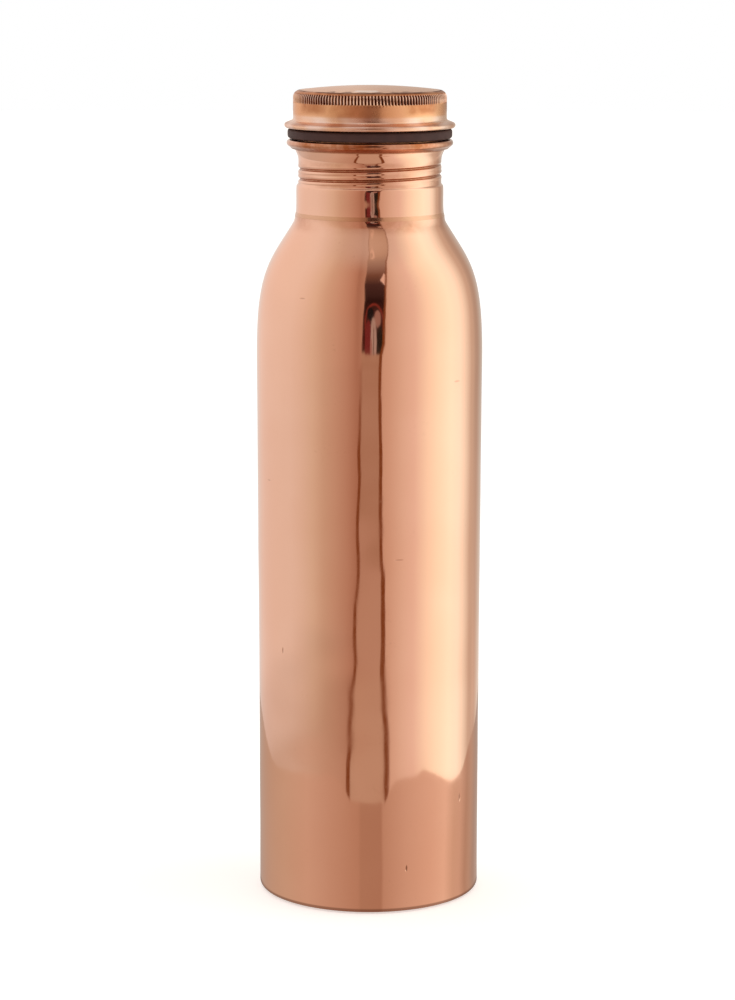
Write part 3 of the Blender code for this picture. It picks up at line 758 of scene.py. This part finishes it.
# Nicks in the body's wall: azimuth in degrees and height, half sizes of the same kind, depth
NICKS = [
    ((-37.0, 0.2033), (1.8, 0.00025), 0.30),
    ((49.7, 0.1759), (2.2, 0.00028), 0.35),
    ((15.0, 0.1189), (2.1, 0.00025), 0.30),
    ((-50.1, 0.0860), (0.45, 0.0010), 0.60),
    ((55.0, 0.0355), (0.60, 0.0012), 0.50),
    ((19.7, 0.0150), (0.50, 0.0010), 1.0),
    ((-62.0, 0.1420), (1.6, 0.00025), 0.25),
    ((118.0, 0.1300), (1.8, 0.00030), 0.40),
    ((-150.0, 0.0520), (0.50, 0.0011), 0.60),
    ((170.0, 0.1010), (1.6, 0.00025), 0.35),
]


def new_material(name):
    made = bpy.data.materials.new(name)
    made.use_nodes = True
    return made, Graph(made.node_tree)


def mark(g, name):
    return g.node("Attribute", attribute_name=name).outputs["Fac"]


def degrees(g, radians):
    return g.math("MULTIPLY", radians, 180 / math.pi)


def azimuth_node(g, x, y):
    """Degrees from the front, positive to the camera's right."""
    return degrees(g, g.math("ARCTAN2", x, g.math("MULTIPLY", y, -1.0)))


def offsets(g, place, centre, half_sizes):
    """How far a place lies across and up from a centre, in half sizes."""
    return [g.math("DIVIDE", g.math("SUBTRACT", value, middle), half)
            for value, middle, half in zip(place, centre, half_sizes)]


def from_ellipse(g, place, centre, half_sizes):
    """0 at the centre of an ellipse, 1 on it and more outside it."""
    across, up = offsets(g, place, centre, half_sizes)
    return g.math("ADD", g.math("MULTIPLY", across, across), g.math("MULTIPLY", up, up))


def nick_mask(g, place):
    """1 inside the nicks in the wall, fading to 0 just outside them."""
    x, y, z = g.node("SeparateXYZ", {0: place}).outputs
    on_wall = (azimuth_node(g, x, y), z)
    total = 0.0
    for centre, half_sizes, depth in NICKS:
        away = from_ellipse(g, on_wall, centre, half_sizes)
        total = g.math("MULTIPLY_ADD", g.fade(away, 1.6, 0.1), depth, total)
    return total


def copper_material(name, pale, deep, tarnish_and_shade, roughness, bump=0.03, tint=(1.0, 1.0, 1.0), nicked=False):
    """Polished copper. pale and deep are its two shades, tarnish_and_shade is what gathers in its hollows
    and, on the lid, the colour of painted shade too, and tint colours its reflections at low angles."""
    made, g = new_material(name)
    place = g.node("TexCoord").outputs["Object"]
    drift = g.noise(place, 28, 2)
    colour = g.mix(g.fade(drift, 0.35, 0.65), pale, deep)
    streaks = g.noise(g.stretched(place, (420, 420, 9)), 1, 3)
    colour = g.mix(g.math("MULTIPLY", g.fade(streaks, 0.5, 0.75), 0.10), colour, deep)
    specks = g.noise(place, 1500, 3, 0.6)
    film = g.math("MULTIPLY", g.fade(specks, 0.62, 0.74), g.fade(g.noise(place, 70, 2), 0.5, 0.7))
    colour = g.mix(g.math("MULTIPLY", film, 0.25), colour, tarnish_and_shade)
    patchy = g.fade(g.noise(place, 420, 3, 0.6), 0.30, 0.62)
    uneven = g.math("MULTIPLY_ADD", patchy, 0.35, 0.65)
    stained = g.math("MULTIPLY", mark(g, "stain"), uneven)
    colour = g.mix(stained, colour, STAIN)
    # Darkens towards the tarnish colour: dirt in the hollows, and painted shade along the front of the
    # lid's top edge
    grime_and_shade_patches = g.math("MULTIPLY_ADD", uneven, 0.7, 0.3)
    grime_and_shade_share = g.math("MULTIPLY", g.fade(mark(g, "grime"), 0.10, 0.60), grime_and_shade_patches)
    colour = g.mix(grime_and_shade_share, colour, tarnish_and_shade)
    # Lightens towards bare metal where worn, and paints highlights on the lid's knurling crests and on its
    # top
    colour = g.mix(g.math("MULTIPLY", mark(g, "worn"), 0.85), colour, BARE_METAL_AND_HIGHLIGHT)
    rough = g.math("MULTIPLY_ADD", g.noise(place, 160, 3), 0.06, roughness - 0.03)
    rough = g.math("MULTIPLY_ADD", film, 0.15, rough)
    rough = g.math("MULTIPLY_ADD", stained, 0.12, rough)
    rough = g.math("MULTIPLY_ADD", grime_and_shade_share, 0.20, rough)
    fine = g.noise(g.stretched(place, (900, 900, 120)), 1, 2)
    scratches = g.node("Bump", {"Strength": bump, "Distance": 0.0002, "Height": fine}).outputs[0]
    if nicked:
        nicks = nick_mask(g, place)
        colour = g.mix(g.math("MULTIPLY", nicks, 0.8), colour, NICK_COLOUR)
        dents = {"Strength": 0.5, "Distance": 0.0004, "Height": nicks, "Normal": scratches}
        scratches = g.node("Bump", dents, invert=True).outputs[0]
    shader = g.node("BsdfPrincipled", {"Base Color": colour, "Roughness": rough, "Metallic": 1.0,
                                       "Specular Tint": tint, "Normal": scratches})
    g.node("OutputMaterial", {"Surface": shader.outputs[0]})
    return made


def rubber_material():
    made, g = new_material("gasket_rubber")
    place = g.node("TexCoord").outputs["Object"]
    mottle = g.noise(place, 300, 3)
    colour = g.mix(g.fade(mottle, 0.3, 0.7), RUBBER_PALE, RUBBER_DEEP)
    dust = g.fade(g.noise(place, 2600, 2), 0.66, 0.76)
    colour = g.mix(g.math("MULTIPLY", dust, 0.3), colour, RUBBER_DUST)
    rough = g.math("MULTIPLY_ADD", mottle, 0.2, 0.50)
    grain = g.noise(place, 1800, 3)
    bump = g.node("Bump", {"Strength": 0.15, "Distance": 0.0002, "Height": grain}).outputs[0]
    shader = g.node("BsdfPrincipled", {"Base Color": colour, "Roughness": rough, "Normal": bump,
                                       "Specular IOR Level": 0.18})
    g.node("OutputMaterial", {"Surface": shader.outputs[0]})
    return made


# ---------------------------------------------------------------- studio

# The light tent round the bottle: brightness by azimuth in degrees, from the camera's side (0)
# to the right (positive) and the left (negative). Behind the bottle it is one wall.
TENT_WALL = [
    (-180, (0.78, 0.74, 0.70)),
    (-144, (0.91, 0.85, 0.81)),
    (-106, (0.90, 0.89, 0.87)),
    (-89, (0.885, 0.88, 0.86)),
    (-74, (0.84, 0.81, 0.76)),
    (-60, (0.77, 0.72, 0.625)),
    (-47, (0.67, 0.57, 0.47)),
    (-35, (0.62, 0.48, 0.39)),
    (-23, (0.55, 0.38, 0.30)),
    (-12, (0.45, 0.27, 0.20)),
    (12, (0.68, 0.52, 0.43)),
    (20, (0.73, 0.58, 0.49)),
    (35, (0.86, 0.75, 0.67)),
    (47, (0.95, 0.84, 0.78)),
    (60, (1.13, 1.13, 1.01)),
    (74, (1.36, 1.36, 1.21)),
    (92, (1.55, 1.55, 1.43)),
    (106, (1.46, 1.46, 1.39)),
    (116, (1.08, 1.17, 1.09)),
    (128, (0.71, 0.66, 0.57)),
    (144, (0.60, 0.52, 0.44)),
    (158, (0.68, 0.66, 0.60)),
    (180, (0.78, 0.74, 0.70)),
]
TENT_HIGH = (0.70, 0.655, 0.61)
TENT_TOP = (0.90, 0.87, 0.83)
# How much brighter or darker the left and the right wall are at each elevation, as a share of 2
LEFT_SHADE = [(-15, 0.40), (-14.5, 0.40), (-13.5, 0.455), (-12.6, 0.50), (-9, 0.50), (-7.5, 0.52),
              (-2, 0.53), (12, 0.555), (30, 0.555), (60, 0.53)]
RIGHT_SHADE = [(-15, 0.475), (-14.5, 0.485), (-13.5, 0.60), (-11.7, 0.53), (-9.9, 0.485), (-8, 0.435),
               (60, 0.425)]

# The opening that the camera looks through: its two edges' azimuth by elevation, in degrees
OPENING_LEFT = [(-20, -25), (-15, -21.8), (-14.5, -21), (-14.2, -19.5), (-13.9, -17.2),
                (-13.6, -16.2), (-13.2, -15.4), (-12.8, -15), (-12.3, -13.9), (-11.9, -12.4),
                (-11.2, -11.6), (-10.6, -10.8), (-9.4, -9.7), (-8.7, -9.2), (-7.9, -7.8), (3.4, -7.0),
                (17, -5), (30, -5.5), (40, -4.2), (53, -3), (58, 0), (60, -2)]
OPENING_RIGHT = [(-20, 22), (-15.1, 19.8), (-14.6, 18.2), (-14.2, 17.2), (-13.8, 14.9), (-13.4, 13.7),
                 (-12.6, 13.3), (-12, 13.9), (-11.6, 13.9), (-11.2, 12.2), (-10.6, 11.5), (-9.5, 11.4),
                 (-8.4, 10.4), (-5.5, 11.5), (-3, 14.2), (3.4, 14.8), (14, 16.4), (25, 17.8), (40, 21),
                 (52, 26), (57, 33), (60, 42)]
OPENING_VIEW = [
    (-20, (0.62, 0.49, 0.40)),
    (-14.6, (0.59, 0.46, 0.37)),
    (-13.5, (0.55, 0.40, 0.315)),
    (-11.7, (0.545, 0.385, 0.31)),
    (-11.08, (0.53, 0.37, 0.30)),
    (-11.0, (0.455, 0.31, 0.23)),
    (-10.2, (0.45, 0.30, 0.225)),
    (-9.0, (0.49, 0.345, 0.27)),
    (-8.1, (0.46, 0.31, 0.235)),
    (-7.6, (0.43, 0.28, 0.205)),
    (-4.9, (0.50, 0.35, 0.26)),
    (-4.3, (0.075, 0.020, 0.014)),
    (4, (0.060, 0.018, 0.014)),
    (16, (0.028, 0.011, 0.010)),
    (20, (0.050, 0.024, 0.022)),
    (30, (0.075, 0.037, 0.034)),
    (40, (0.20, 0.106, 0.075)),
    (47, (0.33, 0.23, 0.19)),
    (53, (0.44, 0.34, 0.28)),
    (57, (0.58, 0.46, 0.37)),
    (60, (0.65, 0.54, 0.45)),
]
EDGE_COLOUR = (0.215, 0.070, 0.020)
# The dark line along each edge: its strength and its half width in degrees, by elevation
LEFT_LINE = ([(-20, 1.0), (-9.4, 1.0), (-8.0, 0.12), (-6, 0.0), (50, 0.0), (56, 0.35)],
             [(-20, 2.3), (-13.6, 2.2), (-12.6, 1.6), (-9.4, 1.5), (-6, 1.1), (60, 1.0)])
RIGHT_LINE = ([(-20, 1.0), (-5, 1.0), (40, 0.8), (60, 0.6)],
              [(-20, 2.9), (-14.3, 2.8), (-12, 2.2), (-10.4, 1.7), (-5, 1.5), (20, 1.1), (30, 1.4),
               (60, 1.2)])
# The camera and its stand: azimuth and elevation of the middle, half sizes, colour
STAND_SHAPES = [
    ((4.7, 3.5), (9.6, 11.0), (0.24, 0.045, 0.034)),
    ((4.7, 3.2), (8.6, 9.9), (0.055, 0.020, 0.017)),
    ((8.3, 6.2), (3.4, 4.0), (0.36, 0.225, 0.20)),
    ((0.9, 8.5), (3.3, 3.5), (0.016, 0.014, 0.015)),
    ((-1.2, -2.0), (3.6, 7.0), (0.18, 0.033, 0.034)),
    ((3.9, -5.0), (3.2, 11.5), (0.46, 0.39, 0.37)),
    ((4.1, -3.5), (0.6, 6.5), (0.20, 0.14, 0.12)),
    ((1.6, -5.0), (0.9, 4.0), (0.38, 0.20, 0.18)),
    ((10.4, -2.5), (3.0, 5.5), (0.024, 0.018, 0.014)),
    ((4.6, 57.3), (3.9, 2.2), (0.80, 0.64, 0.54)),
    ((3.6, 57.2), (2.2, 1.2), (0.57, 0.46, 0.37)),
]
STAND_FOOT = (-5.4, -4.9)
# A lamp's reflection beside the stand, a diamond cut off by the opening's edge
GLINT = ((18.7, 34.5), (6.0, 7.0), (0.83, 0.66, 0.58))
# What the wall's foot on the left picks up from the floor
FOOT_GLOW = [(-140, 0.0), (-115, 0.55), (-90, 0.65), (-60, 0.8), (-20, 0.8), (-14, 0.0)]
FLOOR_COLOUR = [
    (-180, (0.50, 0.43, 0.38)),
    (-158, (0.55, 0.475, 0.41)),
    (-132, (0.60, 0.52, 0.44)),
    (-103, (0.65, 0.565, 0.475)),
    (-69, (0.695, 0.57, 0.485)),
    (-40, (0.617, 0.462, 0.376)),
    (-17, (0.555, 0.385, 0.30)),
    (-10.6, (0.540, 0.37, 0.285)),
    (-8.3, (0.488, 0.33, 0.25)),
    (13.0, (0.485, 0.325, 0.247)),
    (15.4, (0.590, 0.43, 0.345)),
    (40, (0.715, 0.562, 0.473)),
    (69, (0.824, 0.665, 0.567)),
    (89, (0.905, 0.77, 0.67)),
    (104, (0.73, 0.61, 0.51)),
    (116, (0.72, 0.59, 0.50)),
    (130, (0.54, 0.42, 0.34)),
    (142, (0.56, 0.46, 0.38)),
    (158, (0.465, 0.40, 0.35)),
    (180, (0.50, 0.43, 0.38)),
]
CONTACT_SHADE = (0.12, 0.06, 0.04)
CONTACT_REACH = 0.0035
NEAR_FLOOR_Z = -0.0002
TABLE_Z = -0.0003
TABLE_REACH = 6.0
BACKDROP_RADIUS = 5.0
# The near floor's edge as the metal shows it: azimuth in degrees and distance from the bottle
FLOOR_EDGE = [(-170, 0.30), (-150, 0.270), (-138, 0.247), (-123, 0.221), (-113, 0.203), (-104, 0.197),
              (-90, 0.202), (-66, 0.213), (-50, 0.215), (-33, 0.211), (-25, 0.198), (-16.5, 0.178),
              (-10, 0.176), (10.5, 0.176), (16.5, 0.179), (19.5, 0.192), (25, 0.205), (33, 0.208),
              (46, 0.208), (54.5, 0.215), (60, 0.209), (75, 0.193), (86, 0.186), (97, 0.187),
              (107, 0.194), (114, 0.206), (127, 0.227), (144, 0.251), (170, 0.32)]


def round_ramp(g, azimuth, stops):
    return span_ramp(g, azimuth, -180, 180, stops)


def rise_ramp(g, elevation, stops):
    return span_ramp(g, elevation, -20, 60, stops)


def opening_edge(g, elevation, stops):
    """The azimuth of one edge of the opening. Ramps hold 0 to 1, so degrees are packed into them."""
    packed = rise_ramp(g, elevation, [(place, azimuth / 100 + 0.5) for place, azimuth in stops])
    return g.math("MULTIPLY_ADD", packed, 100.0, -50.0)


def tent_walls(g, azimuth, elevation):
    """The walls, shaded by height on each side, with the floor's glow on their foot."""
    colour = round_ramp(g, azimuth, TENT_WALL)
    for shade, start, end in ((LEFT_SHADE, -12, -17), (RIGHT_SHADE, 132, 140)):
        share = g.math("MULTIPLY", rise_ramp(g, elevation, shade), 2.0)
        shaded = g.mix(1.0, colour, share, blend="MULTIPLY")
        colour = g.mix(g.fade(azimuth, start, end), colour, shaded)
    foot = g.math("MULTIPLY", g.fade(elevation, -13.7, -14.9), round_ramp(g, azimuth, FOOT_GLOW))
    return g.mix(foot, colour, round_ramp(g, azimuth, FLOOR_COLOUR))


def room_view(g, azimuth, elevation):
    """What shows through the opening: the room, with the camera on its stand and a lamp."""
    place = (azimuth, elevation)
    view = rise_ramp(g, elevation, OPENING_VIEW)
    above_foot = g.fade(elevation, *STAND_FOOT)
    for centre, half_sizes, shade in STAND_SHAPES:
        inside = g.fade(from_ellipse(g, place, centre, half_sizes), 1.12, 0.88)
        view = g.mix(g.math("MULTIPLY", inside, above_foot), view, shade)
    centre, half_sizes, shade = GLINT
    across, up = offsets(g, place, centre, half_sizes)
    away = g.math("ADD", g.math("ABSOLUTE", across), g.math("ABSOLUTE", up))
    return g.mix(g.fade(away, 1.1, 0.9), view, shade)


def edge_line(g, off_edge, elevation, strength, half_width):
    """The dark line along an edge of the opening. Its width is packed as a quarter into a ramp."""
    packed = rise_ramp(g, elevation, [(place, width / 4) for place, width in half_width])
    across = g.math("DIVIDE", g.math("ABSOLUTE", off_edge), g.math("MULTIPLY", packed, 4.0))
    line = g.math("MULTIPLY", g.fade(across, 1.25, 0.65), rise_ramp(g, elevation, strength))
    return g.math("MULTIPLY", line, g.fade(elevation, 64, 60))


def light_tent():
    """A soft tent of light all round, as a world that only light and reflections see."""
    world = bpy.data.worlds.new("light_tent")
    world.use_nodes = True
    bpy.context.scene.world = world
    g = Graph(world.node_tree)
    x, y, z = g.node("SeparateXYZ", {0: g.node("TexCoord").outputs["Generated"]}).outputs
    azimuth = azimuth_node(g, x, y)
    elevation = degrees(g, g.math("ARCSINE", z))
    left = g.math("SUBTRACT", azimuth, opening_edge(g, elevation, OPENING_LEFT))
    right = g.math("SUBTRACT", opening_edge(g, elevation, OPENING_RIGHT), azimuth)
    inside = g.math("MULTIPLY", g.fade(left, -0.5, 0.5), g.fade(right, -0.5, 0.5))
    above = g.mix(g.fade(elevation, 64, 82), TENT_HIGH, TENT_TOP)
    colour = g.mix(g.fade(elevation, 40, 72), tent_walls(g, azimuth, elevation), above)
    room = g.mix(g.fade(elevation, 61, 75), room_view(g, azimuth, elevation), TENT_TOP)
    colour = g.mix(inside, colour, room)
    for off_edge, (strength, half_width) in ((left, LEFT_LINE), (right, RIGHT_LINE)):
        line = edge_line(g, off_edge, elevation, strength, half_width)
        colour = g.mix(line, colour, EDGE_COLOUR)
    background = g.node("Background", {"Color": colour, "Strength": 1.0})
    g.node("OutputWorld", {"Surface": background.outputs[0]})


def glow_material(name, strength, white=0.0):
    """A plain bright surface; white is how much of its light also shows shadows."""
    made, g = new_material(name)
    glow = g.node("Emission", {"Color": (1.0, 1.0, 1.0), "Strength": strength})
    paper = g.node("BsdfDiffuse", {"Color": (white, white, white)})
    both = g.node("AddShader", {0: glow.outputs[0], 1: paper.outputs[0]})
    g.node("OutputMaterial", {"Surface": both.outputs[0]})
    return made


# A glowing disc that only reflections see: it paints the lit floor's reflection round the bottle, with a
# painted contact shadow at the bottle's foot
def near_floor_material():
    made, g = new_material("near_floor")
    x, y = g.node("SeparateXYZ", {0: g.node("TexCoord").outputs["Object"]}).outputs[:2]
    away = g.math("SQRT", g.math("ADD", g.math("MULTIPLY", x, x), g.math("MULTIPLY", y, y)))
    # The floor's bands fan out towards the wall, so their reflections run straight down it
    fan = g.math("DIVIDE", 2.0, g.math("SUBTRACT", 2.0, g.math("DIVIDE", BODY_HIGH.x, away)))
    colour = round_ramp(g, g.math("MULTIPLY", azimuth_node(g, x, y), fan), FLOOR_COLOUR)
    dark = g.fade(away, BODY_HIGH.x + CONTACT_REACH, BODY_HIGH.x)
    colour = g.mix(g.math("MULTIPLY", dark, 0.6), colour, CONTACT_SHADE)
    glow = g.node("Emission", {"Color": colour, "Strength": 1.0})
    g.node("OutputMaterial", {"Surface": glow.outputs[0]})
    return made


def edge_distance(angle_degrees):
    """The near floor's reach, smoothly round the bottle."""
    azimuths, reach = np.array(FLOOR_EDGE).T
    azimuths = np.concatenate([azimuths - 360, azimuths, azimuths + 360])
    reach = np.tile(reach, 3)
    slopes = np.gradient(reach, azimuths)
    k = np.clip(np.searchsorted(azimuths, angle_degrees) - 1, 0, len(azimuths) - 2)
    width = azimuths[k + 1] - azimuths[k]
    t = (angle_degrees - azimuths[k]) / width
    keep, bend = 2 * t ** 3 - 3 * t ** 2 + 1, t ** 3 - 2 * t ** 2 + t
    other, unbend = 3 * t ** 2 - 2 * t ** 3, t ** 3 - t ** 2
    start = keep * reach[k] + bend * width * slopes[k]
    return start + other * reach[k + 1] + unbend * width * slopes[k + 1]


def only_seen_by(obj, *rays):
    """Limits which rays meet a staged object."""
    for ray in ("camera", "diffuse", "glossy", "transmission", "volume_scatter", "shadow"):
        setattr(obj, "visible_" + ray, ray in rays)


def make_floors():
    count = 360
    azimuths = np.arange(count) - 180.0
    reach = edge_distance(azimuths)
    turn = np.radians(azimuths)
    rim = np.stack([reach * np.sin(turn), -reach * np.cos(turn), np.full(count, NEAR_FLOOR_Z)], axis=1)
    near = add_mesh("near_floor", rim, [list(range(count))[::-1]])
    near.data.materials.append(near_floor_material())
    only_seen_by(near, "glossy")
    sides = ((-1, -1), (1, -1), (1, 1), (-1, 1))
    corners = [(TABLE_REACH * x, TABLE_REACH * y, TABLE_Z) for x, y in sides]
    table = add_mesh("studio_floor", corners, [[0, 1, 2, 3]])
    table.data.materials.append(glow_material("studio_floor", 0.50, 0.85))
    only_seen_by(table, "camera", "diffuse")


def make_backdrop():
    """A plain white dome behind everything, which only the camera sees."""
    turns = np.radians(np.arange(-90, 91, 6))
    outline = [(BACKDROP_RADIUS * math.cos(turn), BACKDROP_RADIUS * math.sin(turn)) for turn in turns]
    outline[0], outline[-1] = (0, -BACKDROP_RADIUS), (0, BACKDROP_RADIUS)
    dome = turned("backdrop", outline, count=60, closed=False)
    dome.data.materials.append(glow_material("backdrop", 1.0))
    only_seen_by(dome, "camera")


def make_camera():
    data = bpy.data.cameras.new("camera")
    data.sensor_width = 36
    data.lens = CAMERA_LENS
    camera = bpy.data.objects.new("camera", data)
    camera.location = CAMERA_PLACE
    camera.rotation_euler = (math.pi / 2 - CAMERA_PITCH, CAMERA_ROLL, 0)
    bpy.context.scene.collection.objects.link(camera)
    bpy.context.scene.camera = camera
    bpy.context.scene.view_settings.view_transform = "Standard"


# ---------------------------------------------------------------- assembly

make_camera()
light_tent()
make_floors()
make_backdrop()

body_copper = copper_material("body_copper", COPPER_PALE, COPPER_DEEP, TARNISH, 0.06, 0.02, nicked=True)
lid_copper = copper_material("lid_copper", LID_PALE, LID_DEEP, LID_TARNISH_AND_SHADE, 0.24, tint=LID_TINT)
braze = copper_material("braze", BRAZE_PALE, BRAZE_DEEP, TARNISH, 0.18, 0.06)
rubber = rubber_material()

make_body(body_copper)
make_base(body_copper)
make_fillet_ring("base_fillet", "base_braze_ring", "bottle", braze, upwards=True)
make_seam_ring(braze)
make_neck(body_copper)
make_gasket(rubber)
make_cap(lid_copper)
make_stem(lid_copper)
make_disc(lid_copper)
make_fillet_ring("stem_fillet", "stem_braze_ring", "lid", braze, upwards=False)
